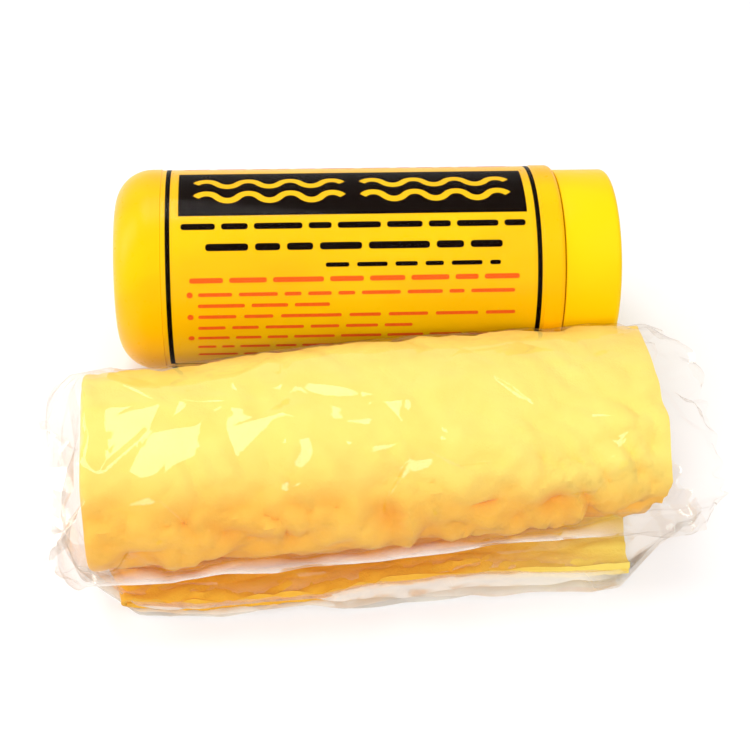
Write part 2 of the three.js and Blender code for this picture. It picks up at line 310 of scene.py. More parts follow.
class Shade:
    """The node tree of a material, or of the surround, while it is put together."""

    def __init__(self, name: str, surround: bool = False) -> None:
        """Starts an empty tree with its output, and a material's with the object's own coordinates."""
        self.owner = (bpy.data.worlds if surround else bpy.data.materials).new(name)
        self.owner.use_nodes = True
        self.tree = self.owner.node_tree
        self.tree.nodes.clear()
        self.output = self.node("ShaderNodeOutputWorld" if surround else "ShaderNodeOutputMaterial")
        if not surround:
            self.place = self.node("ShaderNodeTexCoord").outputs["Object"]

    def node(self, kind: str, _set: dict | None = None, **inputs: object) -> bpy.types.Node:
        """Adds a node.

        Args:
            kind: the node's type.
            _set: the node's own settings.
            **inputs: its sockets, by name with _ for a space, as a link or a value.

        Returns:
            The node.
        """
        made = self.tree.nodes.new(kind)
        for key, value in (_set or {}).items():
            setattr(made, key, value)
        for key, value in inputs.items():
            wanted = key.replace("_", " ")
            socket = made.inputs[int(key[1:])] if key[1:].isdigit() else made.inputs[wanted]
            if isinstance(value, Socket):
                self.tree.links.new(value, socket)
            else:
                socket.default_value = value
        return made

    def grain(self, scale: float, detail: float = 2.0, roughness: float = 0.5, warp: float = 0.0,
              stretch: Triple = (1, 1, 1)) -> Socket:
        """A noise value.

        Args:
            scale: noise cells per metre.
            detail: octaves.
            roughness: how strong the finer octaves are.
            warp: distortion.
            stretch: scale of each axis before the noise.

        Returns:
            The noise's value socket.
        """
        mapped = self.node("ShaderNodeMapping", Vector=self.place, Scale=stretch).outputs[0]
        made = self.node("ShaderNodeTexNoise", Vector=mapped, Scale=scale, Detail=detail,
                         Roughness=roughness, Distortion=warp)
        return made.outputs[0]

    def cells(self, scale: float) -> Socket:
        """The distance value of a cell pattern with so many cells per metre."""
        return self.node("ShaderNodeTexVoronoi", {"feature": "F1"}, Vector=self.place, Scale=scale).outputs[0]

    def creases(self, scale: float, warp_mm: float) -> Socket:
        """Height of flat slanting facets that meet in sharp, slightly curved creases.

        Args:
            scale: cells per metre.
            warp_mm: how far the creases wander.

        Returns:
            The height's value socket.
        """
        drift = self.node("ShaderNodeTexNoise", Vector=self.place, Scale=scale * 0.8, Detail=1.0)
        moved = self.node("ShaderNodeVectorMath", {"operation": "MULTIPLY_ADD"}, _0=drift.outputs["Color"],
                          _1=(warp_mm * MM,) * 3, _2=self.place)
        made = self.node("ShaderNodeTexVoronoi", {"feature": "DISTANCE_TO_EDGE"},
                         Vector=moved.outputs[0], Scale=scale)
        return made.outputs["Distance"]

    def maths(self, operation: str, first: object, second: object = 0.0, clamp: bool = False) -> Socket:
        """One sum on values."""
        settings = {"operation": operation, "use_clamp": clamp}
        return self.node("ShaderNodeMath", settings, _0=first, _1=second).outputs[0]

    def ramp(self, value: Socket, low: float, high: float, out_low: float, out_high: float) -> Socket:
        """Maps a value's range to another, clamped."""
        made = self.node("ShaderNodeMapRange", _0=value, _1=low, _2=high, _3=out_low, _4=out_high)
        return made.outputs[0]

    def blend(self, share: Socket, first: Colour, second: Colour) -> Socket:
        """Mixes two colours by a share."""
        made = self.node("ShaderNodeMix", {"data_type": "RGBA"}, _0=share, _6=(*first, 1), _7=(*second, 1))
        return made.outputs[2]

    def bump(self, height: Socket, depth_mm: float, under: Socket | None = None) -> Socket:
        """A bump of a real depth, on top of another one if given."""
        made = self.node("ShaderNodeBump", Height=height, Distance=depth_mm * MM, Strength=1.0)
        if under is not None:
            self.tree.links.new(under, made.inputs["Normal"])
        return made.outputs[0]

    def value(self, name: str) -> Socket:
        """The value that the mesh's vertices carry under a name."""
        return self.node("ShaderNodeAttribute", {"attribute_name": name}).outputs["Fac"]

    def finish(self, shader: bpy.types.Node) -> Material | bpy.types.World:
        """Joins the shader to the output and gives the material or the surround."""
        self.tree.links.new(shader.outputs[0], self.output.inputs["Surface"])
        return self.owner

    def surface(self, **inputs: object) -> Material:
        """Finishes a material as one surface with these inputs."""
        return self.finish(self.node("ShaderNodeBsdfPrincipled", **inputs))


@dataclass(frozen=True)
class MouldedPlastic:
    """Satin moulded polyethylene or polypropylene.

    Attributes:
        name: the material's name.
        colour: its sRGB hex colour.
        deeper: the colour where the wall is a little thicker.
        roughness: how satin it is.
        ripple_mm: depth of the soft unevenness that blowing leaves.
    """

    name: str
    colour: str
    deeper: str
    roughness: float
    ripple_mm: float

    def material(self) -> Material:
        """Builds the material."""
        shade = Shade(self.name)
        cloud = shade.grain(38, 2, 0.5, 0.4, (0.5, 1, 1))
        colour = shade.blend(shade.ramp(cloud, 0.35, 0.65, 0, 1), linear(self.colour), linear(self.deeper))
        gloss = shade.ramp(shade.grain(420, 3, 0.6), 0.3, 0.7, self.roughness - 0.04, self.roughness + 0.06)
        soft = shade.bump(shade.grain(45, 1, 0.4, 0.2), self.ripple_mm)
        fine = shade.bump(shade.grain(1900, 2, 0.5), 0.004, soft)
        return shade.surface(Base_Color=colour, Roughness=gloss, IOR=1.5, Specular_IOR_Level=0.13,
                             Normal=fine)


@dataclass(frozen=True)
class ClosedCellFoam:
    """Matt white sealing foam with fine closed cells."""

    name: str = "liner_foam"

    def material(self) -> Material:
        """Builds the material."""
        shade = Shade(self.name)
        cells = shade.cells(1500)
        colour = shade.blend(shade.ramp(cells, 0.1, 0.7, 0, 1), linear("efeee8"), linear("d9d7cf"))
        return shade.surface(Base_Color=colour, Roughness=0.85, Normal=shade.bump(cells, 0.12))


@dataclass(frozen=True)
class PrintingInk:
    """Ink printed on the inside of the label film, with slightly uneven cover."""

    ink: Ink

    def material(self) -> Material:
        """Builds the material."""
        shade = Shade(f"ink_{self.ink.name.lower()}")
        base = linear(self.ink.value)
        thin = tuple(min(1.0, c * 1.25 + 0.001) for c in base)
        colour = shade.blend(shade.ramp(shade.grain(900, 4, 0.7), 0.45, 0.75, 0, 1), base, thin)
        fine = shade.bump(shade.grain(2500, 2), 0.003)
        return shade.surface(Base_Color=colour, Roughness=0.4, Specular_IOR_Level=0.01, Normal=fine)


@dataclass(frozen=True)
class GlossyFilm:
    """Clear glossy film that reflects by the angle it is seen at.

    Attributes:
        name: the material's name.
        roughness: of its surface.
        gain: how much stronger than one bare surface it reflects.
        wave: cells per metre and bump depth in millimetres of its soft waves.
        crinkle: the same of its sharp crinkles.
        solid: how solid its mirroring may make it where it is seen edge on.
        haze: how much more solid and milky it is where the haze attribute is full.
        tint: the sRGB hex colour of what it reflects.
        shadow: share of its cover that stops the lamps' light; thin film lets most of it on.
        through: sRGB hex colours of white seen through it, square on and edge on.
    """

    name: str
    roughness: float
    gain: float
    wave: tuple[float, float]
    crinkle: tuple[float, float]
    solid: float
    haze: float
    tint: str = "ffffff"
    shadow: float = 0.06
    through: tuple[str, str] = ("ffffff", "ffffff")

    def material(self) -> Material:
        """Builds the material."""
        shade = Shade(self.name)
        soft = shade.bump(shade.grain(self.wave[0], 1, 0.4, 0.5), self.wave[1])
        cells, depth = self.crinkle
        sharp = shade.bump(shade.creases(cells, 300 / cells), depth, soft)
        slant = shade.node("ShaderNodeLayerWeight", Blend=0.5, Normal=sharp).outputs["Facing"]
        square_on = 0.04
        mirror = shade.maths("MULTIPLY", shade.maths("POWER", slant, 5.0), 1 - square_on)
        mirror = shade.maths("ADD", mirror, square_on)
        milky = shade.value("haze")
        cover = shade.maths("MINIMUM", shade.maths("MULTIPLY", mirror, self.gain), self.solid)
        cover = shade.maths("ADD", cover, shade.maths("MULTIPLY", milky, self.haze), True)
        shadow = shade.node("ShaderNodeLightPath").outputs["Is Shadow Ray"]
        cover = shade.maths("MULTIPLY", cover, shade.ramp(shadow, 0, 1, 1, self.shadow))
        shine = shade.ramp(milky, 0, 1, 1, 0.25)
        skin = shade.node("ShaderNodeBsdfPrincipled", Base_Color=(*linear(self.tint), 1), Metallic=shine,
                          Roughness=self.roughness, Normal=sharp)
        square, edge_on = (linear(colour) for colour in self.through)
        seen_through = shade.blend(shade.maths("POWER", slant, 3.0), square, edge_on)
        clear = shade.node("ShaderNodeBsdfTransparent", Color=seen_through)
        return shade.finish(
            shade.node("ShaderNodeMixShader", _0=cover, _1=clear.outputs[0], _2=skin.outputs[0]))


@dataclass(frozen=True)
class ChamoisSkin:
    """Soft, matt, finely porous synthetic chamois, more golden where painted shade is laid on its colour.

    Attributes:
        name: the material's name.
        pale: sRGB hex colours of its raised and deeper parts where it carries no painted shade.
        painted_shade_gold: the same as painted shade, used where the painted shade share is full.
    """

    name: str = "chamois"
    pale: tuple[str, str] = ("f9e070", "f7da65")
    painted_shade_gold: tuple[str, str] = ("f6b532", "eea626")

    def material(self) -> Material:
        """Builds the material."""
        shade = Shade(self.name)
        cloud = shade.ramp(shade.grain(70, 3, 0.6, 0.3), 0.35, 0.68, 0, 1)
        pores = shade.cells(1700)
        tone = shade.maths("ADD", shade.maths("MULTIPLY", cloud, 0.8), shade.maths("MULTIPLY", pores, 0.35))
        # The golden pair is painted shade, mixed in by the vertices' share of painted shade.
        smooth, painted_gold = (shade.blend(tone, *(linear(c) for c in pair)) for pair in (self.pale, self.painted_shade_gold))
        colour = shade.node("ShaderNodeMix", {"data_type": "RGBA"}, _0=shade.value("painted_shade"),
                            _6=smooth, _7=painted_gold)
        soft = shade.bump(shade.grain(240, 3, 0.55, 0.2), 0.35)
        skin = shade.bump(pores, 0.06, soft)
        return shade.surface(Base_Color=colour.outputs[2], Roughness=0.9, Sheen_Weight=0.08,
                             Sheen_Roughness=0.5, Normal=skin)


@dataclass
class StorageCase:
    """The blow-moulded case body, its screw cap and the foam disc under the cap's top.

    Attributes:
        foot: the foot's place along X.
        back: the axis's place along Y.
        up: the axis's height.
        radius: of the body.
        wall: thickness of the body's wall.
        length: of the body up to its shoulder.
        heel: rounding at the foot.
        shoulder: rounding at the shoulder.
        panel: radius of the label panel, and where it starts and ends.
        neck_radius: outside of the neck.
        neck_end: the neck's open end.
        cap_start: the cap's skirt rim.
        cap_end: the cap's top.
        cap_radius: outside of the cap.
        cap_bore: inside of the cap's skirt.
        lead: the thread's rise in one turn.
        root: how deep the thread's ridges go into their wall.
        thread_sides: sections of a ridge in one turn.
        run_out: sections over which a ridge comes out of its wall.
    """

    foot: float = -85.082
    back: float = 48.045
    up: float = 34.925
    radius: float = 35.0
    wall: float = 1.2
    length: float = 153.0
    heel: float = 13.0
    shoulder: float = 2.0
    panel: Triple = (34.7, 16.6, 145.8)
    neck_radius: float = 30.4
    neck_end: float = 169.7
    cap_start: float = 153.4
    cap_end: float = 172.7
    cap_radius: float = 33.3
    cap_bore: float = 31.9
    lead: float = 12.0
    root: float = 0.3
    thread_sides: int = 96
    run_out: int = 9

    def lathe(self) -> Lathe:
        """The lathe set to the case's axis."""
        return Lathe(self.foot, self.back, self.up)

    def build(self) -> None:
        """Builds, dresses and places the case's three rigid parts."""
        plastic = MouldedPlastic("case_plastic", "ffc600", "ffba00", 0.3, 0.1).material()
        cap_plastic = MouldedPlastic("cap_plastic", "ffd805", "ffd000", 0.34, 0.05).material()
        foam = ClosedCellFoam().material()
        own(self.body(), plastic, Body.CASE, "case_body")
        own(self.cap(), cap_plastic, Body.CAP, "cap")
        own(self.liner(), foam, Body.LINER, "cap_liner")

    def body(self) -> Piece:
        """The body: dished foot, rounded heel, label panel, shoulder and threaded neck."""
        outer, neck, shoulder = self.radius, self.neck_radius, self.length
        panel, start, end = self.panel
        inner, bore, under = outer - self.wall, neck - self.wall, shoulder - self.wall
        profile = [
            (2.5, 0.3), (2.5, 6), (2.3, 12.6), (0.45, 16.2), (0, 17.4), (0, 22), (0, outer), (13.2, outer),
            (start - 0.25, outer), (start, panel), (end, panel), (end + 0.25, outer), (shoulder - 3, outer),
            (shoulder, outer), (shoulder, neck), (self.neck_end, neck), (self.neck_end, bore), (under, bore),
            (under, inner), (13.2, inner), (1.2, inner), (1.2, 17.2), (1.9, 16.0), (3.6, 12.4), (3.7, 6),
            (3.7, 0.3),
        ]
        rounds = [
            (0, outer, self.heel, 14), (1.2, inner, self.heel - self.wall, 10),
            (shoulder, outer, self.shoulder, 6), (shoulder, neck, 0.5, 3), (under, inner, 1.2, 3),
            (self.neck_end, neck, 0.35, 2), (self.neck_end, bore, 0.35, 2),
        ]
        body = self.lathe().turn("case_shell", profile, rounds)
        return Bench.join(body, self.threads("neck_thread", self.neck_radius, 0.85, 155.9, 1.02))

    def cap(self) -> Piece:
        """The cap: skirt, rounded edge, flat rim and shallow recess, with its inner thread."""
        length = self.cap_end - self.cap_start
        outer, bore, inside = self.cap_radius, self.cap_bore, self.cap_end - 1.6
        start, end = self.cap_start, self.cap_end
        profile = [
            (inside, 0.3), (inside, bore), (start, bore), (start, outer), (start + length * 0.5, outer),
            (end, outer), (end, outer - 5), (end - 0.6, outer - 5.6), (end - 0.6, 0.3),
        ]
        rounds = [
            (end, outer, 1.9, 7), (start, outer, 0.35, 3), (start, bore, 0.3, 2), (inside, bore, 0.5, 3),
            (end, outer - 5, 0.25, 2), (end - 0.6, outer - 5.6, 0.25, 2),
        ]
        cap = self.lathe().turn("cap_shell", profile, rounds)
        return Bench.join(cap, self.threads("cap_thread", bore, -0.75, 156.4 + self.lead / 4, 0.8))

    def liner(self) -> Piece:
        """The foam disc, with a slightly crushed edge."""
        start, end, radius = 169.8, 171.0, self.cap_bore - 0.4
        profile = [(start, 0.3), (start, radius), (end, radius), (end, 0.3)]
        return self.lathe().turn("liner_disc", profile, [(start, radius, 0.3, 3), (end, radius, 0.3, 3)])

    def threads(self, name: str, radius: float, height: float, start: float, turns: float) -> list[Piece]:
        """Both starts of a thread, each a swept trapezoid that runs out at its ends.

        Args:
            name: the ridges' name.
            radius: of the wall that they stand on.
            height: of the ridge, below zero inwards.
            start: where the first ridge starts.
            turns: how far each ridge goes round.

        Returns:
            The two ridges.
        """
        made = []
        base, crest_share, depth = 2.0, 0.45, abs(height) + self.root
        for half in range(2):
            Bench.clear()
            x, y, z = (self.foot + start) * MM, self.back * MM, (self.up + radius) * MM
            bpy.ops.mesh.primitive_plane_add(size=1, location=(x, y, z), rotation=(math.pi / 2, 0, 0))
            Bench.edit()
            bpy.ops.transform.resize(value=(base * MM, 1, depth * MM), center_override=(x, y, z))
            shift = (height - math.copysign(self.root, height)) / 2
            bpy.ops.transform.translate(value=(0, 0, shift * MM))
            crest = (self.up + radius + height) * MM
            Bench.select(lambda place: abs(place.z - crest) < 0.02 * MM, "EDGE")
            bpy.ops.transform.resize(value=(crest_share, 1, 1), center_override=(x, y, crest))
            bpy.ops.object.mode_set(mode="OBJECT")
            ridge = Bench.piece()
            self._axis_origin(ridge)
            steps, rise = round(self.thread_sides * turns), self.lead * turns * MM
            Bench.apply(ridge, "SCREW", axis="X", angle=2 * math.pi * turns, screw_offset=rise,
                        steps=steps, render_steps=steps, use_smooth_shade=True)
            self._run_out(ridge, height)
            Bench.edit()
            Bench.outwards()
            bpy.ops.transform.rotate(value=math.pi * half, orient_axis="X",
                                     center_override=(0, self.back * MM, self.up * MM))
            made.append(Bench.done(f"{name}_{half + 1}", 40))
        return made

    def _axis_origin(self, ridge: Piece) -> None:
        """Puts a piece's origin on the case's axis, with its vertices where they are."""
        Bench.pick(ridge)
        bpy.ops.object.transform_apply(location=True, rotation=True, scale=True)
        bpy.context.scene.cursor.location = (0, self.back * MM, self.up * MM)
        bpy.ops.object.origin_set(type="ORIGIN_CURSOR")
        bpy.context.scene.cursor.location = (0, 0, 0)

    def _run_out(self, ridge: Piece, height: float) -> None:
        """Sinks both ends of a ridge into its wall and closes them."""
        rings = len(ridge.data.vertices) // 4
        for vertex in ridge.data.vertices:
            ring = vertex.index // 4
            near = min(ring, rings - 1 - ring) / self.run_out
            if near < 1:
                off = math.hypot(vertex.co.y, vertex.co.z)
                target = off - height * MM * (1 - near) * 1.1
                vertex.co.y *= target / off
                vertex.co.z *= target / off
        ends = [range(4), range((rings - 1) * 4, rings * 4)]
        mesh = bmesh.new()
        mesh.from_mesh(ridge.data)
        mesh.verts.ensure_lookup_table()
        for end in ends:
            corners = [mesh.verts[i] for i in end]
            centre = sum((v.co for v in corners), Vector()) / 4
            corners.sort(key=lambda v: math.atan2((v.co - centre).x, (v.co - centre).z))
            mesh.faces.new(corners)
        mesh.to_mesh(ridge.data)
        mesh.free()


@dataclass
class PrintedLabel:
    """The clear film sleeve in the case's panel and what is printed on its inside.

    The print is laid out flat: X along the case from its foot, Z round it. Each mark
    is a small sheet, and the whole layout is then bent round the case.

    Attributes:
        case: the case that it goes round.
        ink_radius: where the print lies.
        film_radius: inner radius of the sleeve.
        wave_radius: where the waves lie, over the band that they are on.
        film_thickness: of the sleeve.
        start: where the sleeve starts, from the foot.
        end: where it ends.
        seed: of the lengths of the dashes.
    """

    case: StorageCase
    ink_radius: float = 34.745
    film_radius: float = 34.79
    wave_radius: float = 34.765
    film_thickness: float = 0.09
    start: float = 16.7
    end: float = 145.7
    seed: int = 7

    def build(self) -> None:
        """Builds, dresses and places the sleeve and what is printed on it."""
        for ink, layout in ((Ink.BLACK, self.black_marks), (Ink.RED, self.red_marks)):
            marks = self.sheet(f"print_{ink.name.lower()}", layout, self.ink_radius)
            own(marks, PrintingInk(ink).material(), Body.CASE)
        yellow = MouldedPlastic("wave_yellow", "ffc600", "ffba00", 0.4, 0.02)
        waves = self.sheet("print_wave", self.wave_marks, self.wave_radius)
        own(waves, yellow.material(), Body.CASE)
        film = GlossyFilm("label_film", 0.08, 0.06, (40, 0.05), (26, 0.02), 0.3, 0.0)
        own(self.sleeve(), film.material(), Body.CASE, "label_film")

    def sleeve(self) -> Piece:
        """The clear sleeve, a thin tube in the label panel."""
        Bench.clear()
        length = self.end - self.start
        x = (self.case.foot + (self.start + self.end) / 2) * MM
        bpy.ops.mesh.primitive_cylinder_add(
            vertices=144, radius=(self.film_radius + self.film_thickness) * MM, depth=length * MM,
            end_fill_type="NOTHING", location=(x, self.case.back * MM, self.case.up * MM),
            rotation=(0, math.pi / 2, 0))
        Bench.edit()
        Bench.outwards()
        sleeve = Bench.done("label_sleeve", 60)
        Bench.apply(sleeve, "SOLIDIFY", thickness=self.film_thickness * MM, offset=-1.0)
        return Bench.done("label_sleeve", 60)

    def height(self, degrees: float) -> float:
        """Flat height of a place that lies so many degrees from the top towards the viewer."""
        return self.ink_radius * math.radians(90 - degrees)

    def bar(self, left: float, right: float, degrees: float, thickness: float, rounded: bool = True) -> None:
        """Adds one flat bar to the sheet in hand.

        Args:
            left: its left end from the foot.
            right: its right end from the foot.
            degrees: its middle, from the top of the case towards the viewer.
            thickness: its height on the label.
            rounded: whether its ends are rounded.
        """
        x, z = (left + right) / 2 * MM, self.height(degrees) * MM
        bpy.ops.mesh.primitive_plane_add(size=1, location=(x, 0, z), rotation=(math.pi / 2, 0, 0))
        bpy.ops.transform.resize(value=((right - left) * MM, 1, thickness * MM), center_override=(x, 0, z))
        if rounded:
            reach = min(thickness, right - left) * 0.42 * MM
            bpy.ops.mesh.bevel(offset=reach, segments=3, affect="VERTICES")

    def dashes(self, rows: Sequence[tuple[float, float, float, float, int, float]], turned: float,
               dice: random.Random) -> None:
        """Adds rows of dashes of uneven lengths, each filling its stretch.

        Args:
            rows: left and right end, degrees from the top, thickness, number and gap of each row's dashes.
            turned: degrees that the rows are turned on by.
            dice: gives the lengths.
        """
        for left, right, degrees, thickness, words, gap in rows:
            lengths = [dice.uniform(0.5, 1.6) for _ in range(words)]
            room = right - left - gap * (words - 1)
            start = left
            for length in lengths:
                size = room * length / sum(lengths)
                self.bar(start, start + size, degrees + turned, thickness)
                start += size + gap

    def black_marks(self) -> None:
        """The black ink: frame, title band and the bold and plain rows."""
        rows = [
            (23.4, 139.6, 27.0, 2.3, 9, 2.0), (31.5, 131.4, 39.1, 2.5, 7, 2.2),
            (71.5, 130.6, 49.6, 1.5, 6, 2.6),
        ]
        tall, band = (math.radians(degrees) * self.ink_radius for degrees in (171.5, 38.6))
        for turned in (0, 180):
            for line in (18.95, 144.0):
                self.bar(line - 0.8, line + 0.8, 35.75 + turned, tall, False)
            for edge in (-50.0, 121.5):
                self.bar(19.6, 143.3, edge + turned, 1.1, False)
            self.bar(22.6, 140.5, 1.0 + turned, band, False)
            self.dashes(rows, turned, random.Random(self.seed))

    def red_marks(self) -> None:
        """The red ink: a larger row, smaller rows, their round points and a row above the band."""
        rows = [
            (26.0, 137.0, 57.4, 1.75, 8, 2.0), (28.8, 135.5, 65.4, 1.3, 9, 2.2),
            (28.6, 72.8, 71.9, 1.3, 3, 2.2), (28.6, 135.9, 78.6, 1.3, 7, 2.6),
            (28.4, 101.0, 85.9, 1.3, 6, 2.2), (28.2, 136.0, 93.2, 1.3, 9, 2.0),
            (28.0, 97.0, 100.6, 1.3, 7, 1.8), (28.0, 120.0, 108.2, 1.3, 8, 2.0),
        ]
        above_band = [(24.0, 137.5, -33.5, 2.4, 12, 2.2)]
        for turned in (0, 180):
            dice = random.Random(self.seed + 4)
            self.dashes(rows, turned, dice)
            for degrees in (65.4, 78.6, 93.2):
                spot = (26.0 * MM, 0, self.height(degrees + turned) * MM)
                bpy.ops.mesh.primitive_circle_add(vertices=20, radius=1.05 * MM, fill_type="NGON",
                                                  location=spot, rotation=(math.pi / 2, 0, 0))
            self.dashes(above_band, turned, dice)

    def wave_marks(self) -> None:
        """Plain double waves in the title band, in the case's yellow."""
        for turned in (0, 180):
            for first in (28.5, 85.0):
                for row in (-3.6, 3.6):
                    self.wave(first, self.height(1.0 + turned) + row, 7, 7.1, 2.5)

    def wave(self, left: float, height: float, arcs: int, chord: float, stroke: float) -> None:
        """Spins a short edge through one arc after another, up and down in turn.

        Args:
            left: where the wave starts, from the foot.
            height: its flat height on the label.
            arcs: how many arcs it has.
            chord: each arc's width.
            stroke: the line's thickness.
        """
        half_angle = math.radians(52)
        radius = chord / 2 / math.sin(half_angle)
        drop = radius * math.cos(half_angle)
        lean = Vector((math.sin(half_angle), 0, math.cos(half_angle)))
        middle = Vector((left, 0, height))
        bpy.ops.mesh.select_mode(type="VERT")
        bpy.ops.mesh.select_all(action="DESELECT")
        bpy.ops.mesh.primitive_plane_add(size=stroke * MM, location=middle * MM, rotation=(math.pi / 2, 0, 0))
        self._edge_only(middle, Vector((-lean.x, 0, lean.z)), stroke)
        for arc in range(arcs):
            way = 1 if arc % 2 else -1
            centre = Vector((left + chord * (arc + 0.5), 0, height + way * drop))
            bpy.ops.mesh.spin(steps=8, angle=way * 2 * half_angle, center=centre * MM, axis=(0, 1, 0))

    @staticmethod
    def _edge_only(middle: Vector, direction: Vector, stroke: float) -> None:
        """Turns the newly added square into one edge across the stroke, and keeps it selected."""
        piece = Bench.piece()
        mesh = bmesh.from_edit_mesh(piece.data)
        fresh = [v for v in mesh.verts if v.select]
        bmesh.ops.delete(mesh, geom=fresh[2:], context="VERTS")
        ends = [v for v in mesh.verts if v in fresh[:2]]
        for vertex, side in zip(ends, (-0.5, 0.5)):
            vertex.co = (middle + direction * stroke * side) * MM
            vertex.select = True
        if not any(set(e.verts) == set(ends) for e in mesh.edges):
            mesh.edges.new(ends).select = True
        mesh.select_flush(True)
        bmesh.update_edit_mesh(piece.data)

    def sheet(self, name: str, layout: Callable[[], None], radius: float) -> Piece:
        """Lays marks out flat, cuts them into strips and bends the sheet round the case.

        Args:
            name: the piece's name.
            layout: adds the marks.
            radius: where the sheet lies.

        Returns:
            The bent sheet of marks.
        """
        Bench.clear()
        bpy.ops.mesh.primitive_plane_add(size=0.01 * MM, location=(0, 0, 0))
        piece = Bench.piece()
        Bench.edit()
        bpy.ops.mesh.select_all(action="SELECT")
        bpy.ops.mesh.delete(type="VERT")
        layout()
        bpy.ops.mesh.select_all(action="SELECT")
        bpy.ops.mesh.remove_doubles(threshold=0.001 * MM)
        low, high, strip = self.height(304), self.height(-60), 1.1
        for cut in range(int((high - low) / strip)):
            bpy.ops.mesh.select_all(action="SELECT")
            bpy.ops.mesh.bisect(plane_co=(0, 0, (low + strip * (cut + 0.37)) * MM), plane_no=(0, 0, 1))
        bpy.ops.object.mode_set(mode="OBJECT")
        heights = [v.co.z for v in piece.data.vertices]
        Bench.apply(piece, "SIMPLE_DEFORM", deform_method="BEND", deform_axis="X",
                    angle=(max(heights) - min(heights)) / (radius * MM))
        piece.location = (self.case.foot * MM, (self.case.back - radius) * MM, self.case.up * MM)
        Bench.edit()
        Bench.outwards()
        bpy.ops.object.mode_set(mode="OBJECT")
        self._face_out(piece)
        return Bench.done(name, 60)

    def _face_out(self, piece: Piece) -> None:
        """Turns the faces that look at the case's axis."""
        Bench.edit()
        mesh = bmesh.from_edit_mesh(piece.data)
        axis = Vector((0, self.case.back * MM, self.case.up * MM))
        inward = []
        for face in mesh.faces:
            off = piece.matrix_world @ face.calc_center_median() - axis
            if face.normal.dot(Vector((0, off.y, off.z))) < 0:
                inward.append(face)
        bmesh.ops.reverse_faces(mesh, faces=inward)
        bmesh.update_edit_mesh(piece.data)
        bpy.ops.object.mode_set(mode="OBJECT")


# Tables for the roll and its bag. Places are millimetres along the roll or turns of
# the winding; values are millimetres, or shares from 0 to 1.
TAIL_REACH: Table = (
    (-90, -77, -58, -20, -7, 16, 35, 60, 76, 90), (30, 34, 37, 38.5, 36.5, 36.5, 37.5, 40.5, 41.5, 41))
FRONT_GIRTH: Table = ((-91, -58, -28, 3, 34, 67, 83, 91), (-4.8, -2.2, -0.7, 0.2, -1.0, -1.8, -5.2, -6.6))
REAR_GIRTH: Table = ((-91, -51, -17, 16, 50, 85, 91), (-0.6, -0.5, 2.2, 2.4, 1.8, 0.8, 0.4))
FOLDED_ROUND: Table = (
    (-1, 0, 0.1, 0.25, 0.42, 0.55, 0.64, 0.7, 0.77, 0.84, 0.95, 1.2, 1.9),
    (0.3, 0.3, 0.35, 0.35, 0.16, 0.2, 0.75, 1.0, 0.75, 0.24, 0.2, 0.25, 0.2))
FOLDED_RIGHT: Table = ((-91, 20, 60, 91), (0, 0, 0.2, 0.4))
FOLDED_FRONT: Table = ((0.45, 0.58, 0.78, 0.82), (0, 1, 1, 0))
FOLDED_ALONG: Table = ((-91, -84, 70, 91), (0.7, 1, 1, 0.6))
# Painted shade on the cloth's colour: deep on the tail under the roll, on the lower front and on the inner
# turns, none on the top, leaning a little along the roll. Painted light pales the tail's right end.
PAINTED_SHADE_LEAN: Table = ((-91, -30, 30, 91), (-0.01, 0.0, 0.04, 0.08))
PAINTED_SHADE_ROUND: Table = (
    (-1, -0.2, 0, 0.3, 0.4, 0.55, 0.6, 0.66, 0.8, 1.1, 1.9),
    (0.9, 1.0, 0.8, 0.3, 0.0, 0.0, 0.25, 0.85, 1.0, 0.8, 0.6))
PAINTED_LIGHT_RIGHT: Table = ((20, 45, 72), (0, 0.5, 1.0))
RIGHT_EDGE: Table = (
    (-1, 0, 0.1, 0.25, 0.34, 0.4, 0.5, 0.6, 0.7, 0.75, 0.79, 0.85, 0.95, 1.1, 1.3, 1.6, 1.9),
    (-3.5, -5, -6, 1, 6.5, 3.6, 1.2, -0.4, -1.2, -3.2, -7, -13, -14, -10, -4, 0, 0))
LEFT_FOLD: Table = (
    (-1, 0, 0.3, 0.4, 0.5, 0.6, 0.75, 1.0, 1.3, 1.6, 1.9),
    (-1.5, 0, 1.3, 1.0, 0.1, -1.2, -1.0, -1, 1.5, -1, 0.5))
PLEAT_PLACES = (-105, -90, -68, -27, -2, 10, 34, 52, 76, 92, 110)
PLEAT_OUT: Table = (PLEAT_PLACES, (-33, -34, -35.5, -38, -38.5, -38.5, -37.5, -37, -34.5, -33, -33))
PLEAT_UP: Table = (PLEAT_PLACES, (16, 15.7, 15.5, 18.3, 17.2, 18.0, 18.2, 18, 12.2, 12, 12))
HEM_OUT: Table = (
    (-105, -92, -84, -78, -68, -52, -40, -24, -14, 27, 49, 64, 74, 82, 92, 110),
    (14, 19, 27, 34, 37, 38.5, 38, 38.5, 41, 42, 43.5, 45, 44, 38, 30, 24))
HEM_FOLDED: Table = ((-100, -86, 78, 94), (0.1, 1, 1, 0.1))
SLACK_ALONG: Table = ((-104, -70, -20, 20, 60, 108), (3.4, 3.0, 2.2, 1.4, 1.8, 3.4))
SLACK_ROUND: Table = ((0, 0.12, 0.3, 0.5, 0.7, 0.79), (0.2, 0.5, 0.75, 1.0, 0.8, 0.6))
FACETED_ROUND: Table = ((0, 0.05, 0.12), (0, 0, 1))
MILKY_BY_CLOTH: Table = ((-98, -86, 62, 76), (0.08, 1, 1, 0.08))
MILKY_ROUND: Table = ((0.2, 0.36, 0.6, 0.72, 0.79), (0.0, 0.01, 0.01, 0.0, 0.0))
MILKY_ENDS: Table = ((-104, -98, -90, 92, 103, 109), (0.25, 0.06, 0, 0, 0.02, 0.06))
FLOOR_MILK = 0.1
